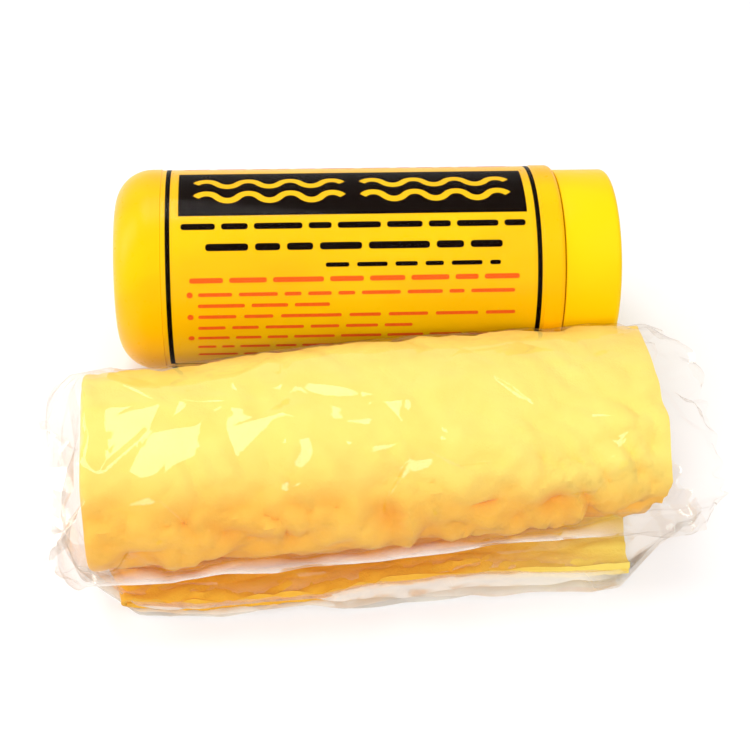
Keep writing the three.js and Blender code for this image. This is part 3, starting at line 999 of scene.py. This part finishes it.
# Down the front, stretch by stretch: how milky the film is at its start and end, its
# steps and how far it sags.
FRONT_STRETCHES = (
    (0.0, 1.0, 9, 0.7), (0.08, 0.02, 7, 0.25), (0.0, 0.04, 7, 0.7), (0.1, 0.7, 7, 0.25), (0.7, 0.8, 5, 0.25),
    (0.5, 0.5, 4, 0.25), (0.5, 0.9, 5, 0.25), (0.5, 0.5, 4, 0.25), (0.5, 0.8, 5, 0.25))


@dataclass
class Roll:
    """The winding of the doubled cloth, and the places on it.

    Lengths are in the roll's own frame: x along it to the right, y towards the case
    and z up. A turn starts under the roll, goes up its back, over the top and down
    its front.

    Attributes:
        origin: the roll's middle in the set's frame.
        yaw: how far it is turned.
        half_width: of the winding's middle line.
        half_height: of the winding's middle line.
        centre: height of the winding's centre.
        half_doubled: half the doubled cloth's thickness.
        turn_count: how many turns the cloth makes.
        loose: turns before it starts to wind inwards.
        core: share of the height that stays open.
        half_length: half the roll's length.
        inset: how much narrower each end of the free tail is.
        girth: cloth in one turn, as the pattern of its folds counts it.
    """

    origin: Point = (-1.582, -36.062)
    yaw: float = 0.100531
    half_width: float = 37.8
    half_height: float = 23.55
    centre: float = 26.95
    half_doubled: float = 2.2
    turn_count: float = 1.888
    loose: float = 0.25
    core: float = 0.3
    half_length: float = 90.3
    inset: float = 9.0
    girth: float = 198.0

    def to_set(self, points: np.ndarray) -> np.ndarray:
        """Turns points of the roll's frame to metres in the set's frame."""
        c, s = math.cos(self.yaw), math.sin(self.yaw)
        x = self.origin[0] + points[..., 0] * c - points[..., 1] * s
        y = self.origin[1] + points[..., 0] * s + points[..., 1] * c
        return np.stack([x, y, points[..., 2]], -1) * MM

    def reach(self, x: np.ndarray) -> np.ndarray:
        """How far the free tail reaches out in front."""
        return at(x, TAIL_REACH)

    def swell(self, turns: np.ndarray, x: np.ndarray) -> np.ndarray:
        """How far the roll's first turn stands off its plain oval, for its uneven girth."""
        share = np.mod(turns, 1.0)
        front = at(x, FRONT_GIRTH) * np.exp(-(((share - 0.86) / 0.13) ** 2))
        rear = at(x, REAR_GIRTH) * np.exp(-(((share - 0.36) / 0.1) ** 2))
        return (front + rear) * np.clip(1.35 - turns, 0.35, 1)

    def oval(self, turns: np.ndarray) -> tuple[np.ndarray, np.ndarray]:
        """Half the width and height of the winding's oval, which draws in as it goes round."""
        wound = np.clip(turns - self.loose, 0, None) / (self.turn_count - self.loose)
        inward = (1 - self.core) * self.half_height * wound
        return self.half_width - inward, self.half_height - inward

    def place(self, turns: np.ndarray, x: np.ndarray, lift: np.ndarray) -> np.ndarray:
        """Points at a lift over the winding's middle line, as x, y and z."""
        angle = 2 * math.pi * turns - math.pi / 2
        wide, tall = self.oval(turns)
        cos, sin = np.cos(angle), np.sin(angle)
        size = np.hypot(tall * cos, wide * sin)
        y = wide * cos + lift * tall * cos / size
        z = self.centre + tall * sin + lift * wide * sin / size
        flat = turns < 0
        y = np.where(flat, turns * self.reach(x), y)
        z = np.where(flat, self.centre - self.half_height - lift, z)
        return np.stack([x, y, z], -1)

    def crumple(self, turns: np.ndarray, x: np.ndarray) -> np.ndarray:
        """The soft lumps and folds of the cloth, mostly on the roll's lower front."""
        made = np.zeros(turns.size)
        for i, (turn, along) in enumerate(zip(turns.ravel(), x.ravel())):
            wound = turn * self.girth
            warp = ripple(along / 30, wound / 30, 5.3) * 14
            broad = ripple((along + 0.35 * wound) / 24, (wound + warp) / 17, 1.7)
            folds = 1 - 2.6 * abs(ripple((along - 0.9 * wound + warp) / 13, (wound + along) / 30, 9.1))
            cross = 1 - 2.6 * abs(ripple((along + 1.3 * wound - warp) / 19, wound / 21, 6.6))
            small = ripple((along + warp) / 5.5, wound / 7, 3.9)
            bent = ripple((along + 0.6 * wound + warp) / 15, (wound - 0.5 * along) / 12, 12.7)
            crease = max(0.0, 1 - 4.5 * abs(bent))
            made[i] = 2.4 * broad + 3.0 * folds + 1.8 * cross + 1.0 * small - 1.7 * crease
        share = at(turns, FOLDED_ROUND) + at(x, FOLDED_RIGHT) * at(turns, FOLDED_FRONT)
        return made.reshape(turns.shape) * np.minimum(share, at(x, FOLDED_ALONG))

    def painted_shade(self, turns: np.ndarray, x: np.ndarray, lumps: np.ndarray) -> np.ndarray:
        """How much painted shade the cloth's colour gets at each place, from 0 to 1, with painted light taken
        off the tail's right end.
        """
        painted_gold = at(turns - at(x, PAINTED_SHADE_LEAN), PAINTED_SHADE_ROUND)
        # Hollows of the lumps get more painted shade and ridges less; the tail's right end gets painted
        # light.
        return np.clip(painted_gold - 0.03 * lumps * (painted_gold > 0.03) - at(x, PAINTED_LIGHT_RIGHT) * (turns < 0), 0, 1)

    def ends(self, turns: np.ndarray) -> tuple[np.ndarray, np.ndarray]:
        """Where the cloth's left fold and right edges lie at each place of the winding."""
        tail = np.clip(-turns, 0, 1)
        inset = self.inset * tail * tail * (3 - 2 * tail)
        left, right = at(turns, LEFT_FOLD), at(turns, RIGHT_EDGE)
        return -self.half_length + inset + left, self.half_length - inset + right


@dataclass
class RolledCloth:
    """The chamois: one sheet, doubled over at the left and rolled up.

    Attributes:
        roll: its winding.
        thickness: of the cloth.
        gap: between its two leaves.
        flat: the sheet's flat width and length; not used.
        rows: stations along the winding.
        outer: columns of the outer leaf.
        inner: columns of the inner leaf.
        inset: how far the fold's bend is set in from the left end.
        clearance: between the floor and the cloth, for the film under it.
    """

    roll: Roll
    thickness: float = 2.0
    gap: float = 0.4
    flat: Point = (0.32, 0.43)
    rows: int = 228
    outer: int = 118
    inner: int = 66
    inset: float = 2.2
    clearance: float = 1.2

    def build(self) -> None:
        """Builds, dresses and places the cloth."""
        cloth = self.sheet()
        own(cloth, ChamoisSkin().material(), Body.CLOTH, "cloth")

    def stations(self) -> np.ndarray:
        """Turns at even lengths of cloth, from the tail's free edge to the core."""
        turns = np.linspace(-1, self.roll.turn_count, 4000)
        middle = self.roll.place(turns, np.zeros_like(turns), np.zeros_like(turns))
        steps = np.linalg.norm(np.diff(middle, axis=0), axis=1)
        lengths = np.concatenate([[0], np.cumsum(steps)])
        return np.interp(np.linspace(0, lengths[-1], self.rows), lengths, turns)

    def columns(self) -> tuple[np.ndarray, np.ndarray, np.ndarray]:
        """Share of the length, extra length and leaf height of each column across the fold."""
        leaf = (self.thickness + self.gap) / 2
        bend = np.linspace(0.5, 1.5, 9)[1:-1] * math.pi
        taper, none = 0.12, np.zeros
        outer, inner = np.linspace(1, 0, self.outer), np.linspace(0, 1, self.inner)
        share = np.concatenate([outer, none(bend.size), inner])
        extra = self.inset + np.concatenate([none(self.outer), leaf * np.cos(bend), none(self.inner)])
        extra *= np.clip(1 - share / taper, 0, 1)
        height = np.concatenate([np.full(self.outer, leaf), leaf * np.sin(bend), np.full(self.inner, -leaf)])
        return share, extra, height

    def sheet(self) -> Piece:
        """Lays a grid along the winding, crumples it and gives it the cloth's thickness."""
        turns = self.stations()
        share, extra, height = self.columns()
        turn_grid, share_grid = np.meshgrid(turns, share, indexing="ij")
        left, right = self.roll.ends(turn_grid)
        x = left + extra[None, :] + share_grid * (right - left)
        lumps = self.roll.crumple(turn_grid, x)
        # Each vertex carries its share of painted shade, which the chamois colour mixes in.
        painted_shade = self.roll.painted_shade(turn_grid, x, lumps)
        off = lumps + self.roll.swell(turn_grid, x) * (turn_grid >= 0)
        tail_ramp, tail_lift = 4, 1.3
        tail = np.clip(-turn_grid * tail_ramp, 0, 1)
        off = off * (1 - tail) - tail * np.abs(off) * tail_lift
        points = self.roll.place(turn_grid, x, height[None, :] + off)
        points[..., 2] = np.maximum(points[..., 2], self.clearance + self.thickness / 2)
        cloth = Bench.drape(self.roll.to_set(points), "painted_shade", painted_shade)
        Bench.apply(cloth, "SOLIDIFY", thickness=self.thickness * MM, offset=0.0, use_even_offset=False)
        Bench.edit()
        Bench.outwards()
        return Bench.done("rolled_cloth", 65)


@dataclass
class FilmBag:
    """The clear film bag: a crinkled skin round the roll, pleated at its front edge.

    Attributes:
        roll: the winding that it goes round.
        seal: where the left end starts to draw in, and where it is sealed.
        mouth: where the right end leaves the roll, and its open rim.
        arc_end: turns at which the film leaves the roll's front.
        cell: size of its facets along the roll, and round it in turns.
        reach: half the length that the net of facets covers.
        stray: how far a facet's corner may stray, in cells.
        seed: of the facets.
        cloth_end: how far from the middle the cloth's form is followed.
        stations: rings of the sealed end, of the middle and of the mouth.
        round_steps: points of a ring that lie over the roll.
        floor_steps: steps of a ring along the floor.
        least_height: of the film over the floor.
    """

    roll: Roll
    seal: Point = (-91.5, -101.5)
    mouth: Point = (90.0, 106.5)
    arc_end: float = 0.79
    cell: Point = (13.0, 0.06)
    reach: float = 110
    stray: float = 0.42
    seed: int = 41
    cloth_end: float = 91
    stations: tuple[int, int, int] = (16, 156, 17)
    round_steps: int = 128
    floor_steps: int = 23
    least_height: float = 0.12

    def build(self) -> None:
        """Builds, dresses and places the bag."""
        film = GlossyFilm("clear_film", 0.05, 0.85, (38, 2.6), (36, 2.4), 0.24, 0.8, "fffcf5",
                          through=("fffefd", "eae5e2"))
        own(self.skin(), film.material(), Body.BAG, "bag_film")

    def facets(self, turns: np.ndarray, x: np.ndarray) -> np.ndarray:
        """Flat, sharp-edged facets round the roll, as crinkled film has.

        The film is a net of triangles whose corners lie at uneven places and heights.
        Each point of the fine grid is set on the triangle that it falls in.

        Args:
            turns: place round the roll of each point of the fine grid.
            x: place along the roll of each point.

        Returns:
            The points, as x, y and z.
        """
        cell_x, cell_turn = self.cell
        dice = random.Random(self.seed)
        corners: dict[tuple[int, int], np.ndarray] = {}
        swap: dict[tuple[int, int], bool] = {}
        for i in range(-10, 11 + int(2 * self.reach / cell_x)):
            for j in range(-3, 4 + int(1 / cell_turn)):
                at_x = -self.reach + (i + dice.uniform(-self.stray, self.stray)) * cell_x
                at_turn = (j + dice.uniform(-self.stray, self.stray)) * cell_turn
                slack = float(at(at_x, SLACK_ALONG)) * float(at(at_turn, SLACK_ROUND))
                slack *= dice.uniform(0.15, 1.0)
                inside = np.clip(np.array([at_x]), -self.cloth_end, self.cloth_end)
                turn = np.clip(np.array([at_turn]), 0.0, 1.0)
                lift = self.roll.half_doubled + 0.5 + self.roll.swell(turn, inside) + slack
                corners[i, j] = self.roll.place(turn, np.array([at_x]), lift)[0]
                swap[i, j] = dice.random() < 0.5
        points = np.zeros((*x.shape, 3))
        for place in np.ndindex(x.shape):
            u, v = (x[place] + self.reach) / cell_x, turns[place] / cell_turn
            i, j = math.floor(u), math.floor(v)
            a, b, c, d = corners[i, j], corners[i + 1, j], corners[i, j + 1], corners[i + 1, j + 1]
            u, v = u - i, v - j
            if not swap[i, j]:
                points[place] = a + u * (b - a) + v * (d - b) if u > v else a + u * (d - c) + v * (c - a)
            elif u + v < 1:
                points[place] = a + u * (b - a) + v * (c - a)
            else:
                points[place] = d + (1 - u) * (c - d) + (1 - v) * (b - d)
        return points

    def cling(self, points: np.ndarray, turns: np.ndarray, least: np.ndarray) -> np.ndarray:
        """Moves the points that lie too deep out to a least lift over the winding's middle line."""
        wide, tall = self.roll.oval(turns)
        y, z = points[..., 1], points[..., 2] - self.roll.centre
        angle = np.arctan2(z / tall, y / wide)
        out_y, out_z = tall * np.cos(angle), wide * np.sin(angle)
        size = np.hypot(out_y, out_z)
        lift = ((y - wide * np.cos(angle)) * out_y + (z - tall * np.sin(angle)) * out_z) / size
        missing = np.clip(least - lift, 0, None)
        moved = points.copy()
        moved[..., 1] += missing * out_y / size
        moved[..., 2] += missing * out_z / size
        return moved

    def front(self, x: float) -> list[Point]:
        """The film's way down the front: off the roll, over a pleat and the tail, in folds to the floor.

        The hem's folds open out beyond the cloth's ends, where nothing holds them.

        Args:
            x: the place along the roll.

        Returns:
            The corners of its stretches, as y and z.
        """
        tables = (PLEAT_OUT, PLEAT_UP, HEM_OUT, HEM_FOLDED)
        edge_y, edge_z, low, folded = (float(at(x, table)) for table in tables)
        beyond = max(0.0, (-78 - x) / 14, (x - 76) / 18)
        reach = float(self.roll.reach(np.array([x]))[0]) - 14 * min(1.0, beyond)

        def sway(seed: float, size: float, length: float = 17) -> float:
            """A soft wave along the bag."""
            return size * ripple(x / length, seed, 0.5)

        return [
            (edge_y + sway(1.1, 0.8), edge_z + sway(2.3, 1.2)),
            (edge_y + 6.5 * folded + sway(3.1, 1.2), edge_z - 6.0 + sway(4.7, 1.2)),
            (-reach + 7 + sway(5.9, 1.0), 6.9 + sway(6.1, 0.5)),
            (-reach - 1.6 + sway(7.7, 0.8), 5.6 + sway(8.3, 0.6)),
            (-low + 0.5 + sway(9.1, 2.0, 11), 3.9 + sway(10.9, 0.7, 9)),
            (-low + (5.5 + sway(11.3, 1.0)) * folded, 3.0 + sway(12.1, 0.3)),
            (-low - (1.0 - sway(13.7, 2.2, 13)) * folded, 2.2 + sway(14.1, 0.5, 8)),
            (-low + (5.0 + sway(15.5, 1.0)) * folded, 1.4 + sway(16.3, 0.2)),
            (-low + sway(17.9, 1.6, 15) * folded, 0.45),
        ]

    def over(self, arc: np.ndarray, along: np.ndarray) -> np.ndarray:
        """The film over the roll's back, top and front, clear of the cloth, as x, y and z."""
        turns, x = np.meshgrid(arc, along, indexing="xy")
        inside = np.clip(x, -self.cloth_end, self.cloth_end)
        lumps = self._envelope(self.roll.crumple(turns, inside) + self.roll.swell(turns, inside))
        least = self.roll.half_doubled + lumps + 0.3
        faceted = self.cling(self.facets(turns, x), turns, least)
        plain = self.roll.place(turns, x, least + 0.2)
        return plain + (faceted - plain) * at(arc, FACETED_ROUND)[None, :, None]

    def ring(self, x: float, arc: np.ndarray, over: np.ndarray) -> tuple[list[Point], list[float]]:
        """The film all round the roll and its tail at one place along.

        Args:
            x: the place along the roll.
            arc: turns of the points that lie over the roll.
            over: those points, as y and z.

        Returns:
            All the ring's points as y and z, and how milky the film is at each.
        """
        by_cloth = float(at(x, MILKY_BY_CLOTH))
        ring, milk = [tuple(point) for point in over], list(at(arc, MILKY_ROUND))
        start, here = ring[0], ring[-1]
        for number, (corner, stretch) in enumerate(zip(self.front(x), FRONT_STRETCHES)):
            before, after, count, droop = stretch
            for step in range(1, count + 1):
                t = step / count
                sag = math.sin(math.pi * t) * droop
                wrinkle = 0.3 * ripple(x / 5, number * 3 + t * 2, 4.4)
                y = here[0] + (corner[0] - here[0]) * t
                ring.append((y, here[1] + (corner[1] - here[1]) * t - sag + wrinkle))
                milk.append((before + (after - before) * t) * by_cloth)
            here = corner
        for step in range(1, self.floor_steps):
            t = step / self.floor_steps
            ring.append((here[0] + (start[0] - here[0]) * t, 0.35 + 0.15 * ripple(x / 7, t * 9, 8)))
            milk.append(FLOOR_MILK)
        return ring, milk

    def skin(self) -> Piece:
        """Lays a grid round the roll and its tail, station by station, and crinkles it."""
        sealed, middle, open_end = self.stations
        along = np.concatenate([
            np.linspace(self.seal[1], self.seal[0], sealed)[:-1],
            np.linspace(self.seal[0], self.mouth[0], middle),
            np.linspace(self.mouth[0], self.mouth[1], open_end)[1:],
        ])
        arc = np.linspace(0.0, self.arc_end, self.round_steps)
        over = self.over(arc, along)
        made = [self.ring(x, arc, points[:, 1:]) for x, points in zip(along, over)]
        rings, milk = (np.array(part) for part in zip(*made))
        shifted = np.repeat(along[:, None], rings.shape[1], 1)
        shifted[:, : arc.size] = over[..., 0]
        rest = rings.shape[1] - arc.size
        shifted[:, arc.size :] += (over[:, -1:, 0] - along[:, None]) * np.linspace(1, 0, rest)[None, :] ** 3
        shifted[[0, -1]] = along[[0, -1], None]
        points = self._draw_in(np.concatenate([shifted[..., None], rings], -1), along)
        points[..., 2] = np.maximum(points[..., 2], self.least_height)
        milk = np.clip(milk + at(along, MILKY_ENDS)[:, None], 0, 1)
        points, milk = (np.concatenate([grid, grid[:, :1]], 1) for grid in (points, milk))
        Bench.drape(self.roll.to_set(points), "haze", milk)
        Bench.edit()
        Bench.outwards(0.005)
        return Bench.done("film_bag", 70)

    @staticmethod
    def _envelope(body: np.ndarray) -> np.ndarray:
        """A smooth skin over the lumps: the highest place nearby, then smoothed."""
        rows_near, columns_near, passes = 4, 3, 6
        high = body.copy()
        for shift in range(-rows_near, rows_near + 1):
            high = np.maximum(high, np.roll(body, shift, 0))
        wide = high.copy()
        for shift in range(-columns_near, columns_near + 1):
            wide = np.maximum(wide, np.roll(high, shift, 1))
        for _ in range(passes):
            pad = np.pad(wide, 1, mode="edge")
            wide = (pad[:-2, 1:-1] + pad[2:, 1:-1] + pad[1:-1, :-2] + pad[1:-1, 2:] + 2 * wide) / 6
        return wide

    def _draw_in(self, points: np.ndarray, along: np.ndarray) -> np.ndarray:
        """Draws the left end in to its flat seal and lets the right end go slack."""
        centre, once_round, closed_by = 20.0, 6.28, 0.72
        left = np.clip((self.seal[0] - along) / (self.seal[0] - self.seal[1]), 0, 1)
        right = np.clip((along - self.mouth[0]) / (self.mouth[1] - self.mouth[0]), 0, 1)
        angles = once_round * np.linspace(0, 1, points.shape[1])

        def round_noise(x: float, size: float, length: float) -> np.ndarray:
            """Noise round the bag that meets itself."""
            return np.array([ripple(math.cos(a) * size, math.sin(a) * size, x / length) for a in angles])

        for row, (shut, slack) in enumerate(zip(left, right)):
            if shut == 0 and slack == 0:
                continue
            closing = min(1.0, shut / closed_by)
            if shut:
                tall = max(0.03, math.sqrt(max(0.0, 1 - closing**1.7)))
                wide = 1 - 0.14 * closing * closing
                amount = 2.6 * math.sin(math.pi * min(1, closing)) + 0.5 * shut
            else:
                tall, wide, amount = 1 - 0.2 * slack * slack, 1 - 0.05 * slack, 3.2 * slack
            crumple, pleats = round_noise(along[row], 3.2, 6), round_noise(along[row], 8, 9)
            x, y, z = (points[row, :, axis] for axis in range(3))
            y[:] = y * wide + amount * 0.8 * crumple
            z[:] = centre + (z - centre) * tall + amount * (crumple + 0.6 * pleats) * (tall if shut else 1)
            x += 1.8 * shut * crumple + 2.4 * slack * pleats
        return points


@dataclass
class Studio:
    """The pale floor, the soft light and the camera.

    Attributes:
        position: the camera's place in millimetres.
        elevation: how far down it looks, in degrees.
        azimuth: how far to the side it looks, in degrees.
        roll: how far it is tilted, in degrees.
        focal: its focal length on a 36 mm sensor.
    """

    position: Triple = (-37.4, -393.7, 395.7)
    elevation: float = 43.0
    azimuth: float = 5.79
    roll: float = 2.73
    focal: float = 76.8

    def build(self) -> None:
        """Sets up the whole studio."""
        bpy.context.scene.view_settings.view_transform = "Standard"
        self.camera()
        self.floor()
        self.world()
        self.softbox("key_softbox", (-0.22, 0.36, 0.92), (-0.05, -0.03, 0.04), (0.4, 0.5), 2.9)
        self.softbox("end_strip", (-0.62, 0.12, 0.34), (-0.06, 0.04, 0.03), (0.2, 0.6), 1.6)
        self.softbox("right_fill", (0.6, -0.35, 0.9), (0, 0, 0.03), (0.8, 0.8), 2.7, False)
        self.softbox("front_fill", (-0.25, -0.9, 0.72), (0, -0.03, 0.02), (0.5, 0.3), 4.9, False)

    def camera(self) -> None:
        """Sets the camera to the fitted view."""
        el, az, tilt = (math.radians(v) for v in (self.elevation, self.azimuth, self.roll))
        look = Vector((math.sin(az) * math.cos(el), math.cos(az) * math.cos(el), -math.sin(el)))
        right = Vector((math.cos(az), -math.sin(az), 0))
        up = right.cross(look)
        across = right * math.cos(tilt) + up * math.sin(tilt)
        upward = up * math.cos(tilt) - right * math.sin(tilt)
        turned = Matrix((across, upward, -look)).transposed()
        bpy.ops.object.camera_add(location=Vector(self.position) * MM, rotation=turned.to_euler())
        camera = bpy.context.object
        camera.name = "camera"
        camera.data.lens = self.focal
        camera.data.sensor_width = 36.0
        camera.data.clip_start = 0.01
        camera.data.clip_end = 50
        bpy.context.scene.camera = camera

    def floor(self) -> None:
        """A plain white floor that keeps the object's shadow."""
        Bench.clear()
        bpy.ops.mesh.primitive_plane_add(size=8, location=(0, 0, 0))
        floor = Bench.done("floor")
        shade = Shade("floor_paper")
        tone = shade.blend(shade.grain(60, 2), linear("dedcdc"), linear("dfdddd"))
        paper = shade.node("ShaderNodeBsdfDiffuse", Color=tone)
        reach = shade.node("ShaderNodeVectorMath", {"operation": "LENGTH"}, _0=shade.place).outputs["Value"]
        glow = shade.node("ShaderNodeEmission", Color=(1.0, 0.998, 0.998, 1),
                          Strength=shade.ramp(reach, 0.35, 1.4, 0.3, 0.66))
        both = shade.node("ShaderNodeAddShader", _0=paper.outputs[0], _1=glow.outputs[0])
        path = shade.node("ShaderNodeLightPath").outputs
        seen = shade.maths("MAXIMUM", path["Is Camera Ray"], path["Is Glossy Ray"])
        floor.data.materials.append(shade.finish(
            shade.node("ShaderNodeMixShader", _0=seen, _1=paper.outputs[0], _2=both.outputs[0])))

    def world(self) -> None:
        """An even white surround, seen as plain white and lighting softly."""
        shade = Shade("surround", surround=True)
        path = shade.node("ShaderNodeLightPath").outputs
        seen = shade.maths("MAXIMUM", path["Is Camera Ray"], path["Is Glossy Ray"])
        seen = shade.maths("MAXIMUM", seen, path["Is Transmission Ray"])
        strength = shade.ramp(seen, 0, 1, 0.5, 1.0)
        sky = shade.node("ShaderNodeBackground", Color=(1, 1, 1, 1), Strength=strength)
        bpy.context.scene.world = shade.finish(sky)

    @staticmethod
    def softbox(name: str, place: Triple, aim: Triple, size: Point, power: float,
                mirrored: bool = True) -> None:
        """Adds a rectangular softbox.

        Args:
            name: the lamp's name.
            place: where it stands, in metres.
            aim: what it points at.
            size: its width and height.
            power: in watts.
            mirrored: whether glossy surfaces show it.
        """
        bpy.ops.object.light_add(type="AREA", location=place)
        lamp = bpy.context.object
        lamp.name = name
        lamp.rotation_euler = (Vector(aim) - Vector(place)).to_track_quat("-Z", "Y").to_euler()
        lamp.data.shape = "RECTANGLE"
        lamp.data.size, lamp.data.size_y = size
        lamp.data.energy = power
        lamp.visible_glossy = mirrored


def main() -> None:
    """Builds the studio, the case with its label, the cloth and the bag."""
    logging.basicConfig(level=logging.INFO, format="%(name)s %(message)s")
    Studio().build()
    case = StorageCase()
    case.build()
    PrintedLabel(case).build()
    roll = Roll()
    RolledCloth(roll).build()
    FilmBag(roll).build()


if __name__ == "__main__":
    main()
